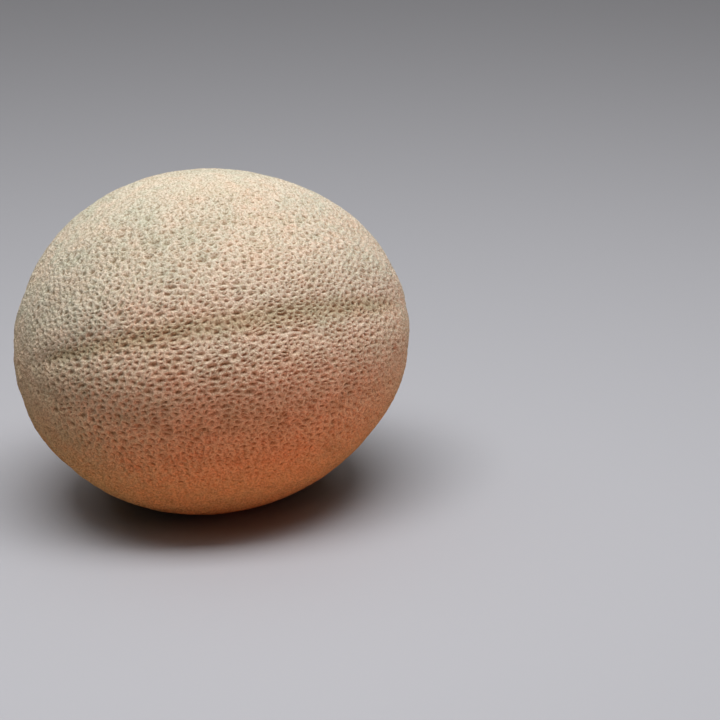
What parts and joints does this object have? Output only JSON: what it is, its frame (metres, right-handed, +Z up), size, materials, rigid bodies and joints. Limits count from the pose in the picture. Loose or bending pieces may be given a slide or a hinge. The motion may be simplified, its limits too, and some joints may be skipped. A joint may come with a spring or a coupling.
{
  "type": "cantaloupe melon",
  "caption": "Whole oval cantaloupe lying on its side: raised corky net over shallow ribs, round stem scar, small blossom scar and a flat ground spot it rests on.",
  "frame": {"origin": "in the plane of the flat ground spot that the melon rests on, under the middle of its length and width", "axes": "+X along the fruit's axis to the stem end, -X to the blossom end, +Z up as it lies"},
  "size_m": [0.1824, 0.1565, 0.1522],
  "materials": {
    "rind": "matte corky net, straw tan, over a thin dull green-tan skin"
  },
  "bodies": {
    "root": {"melon": "rind"}
  },
  "joints": []
}
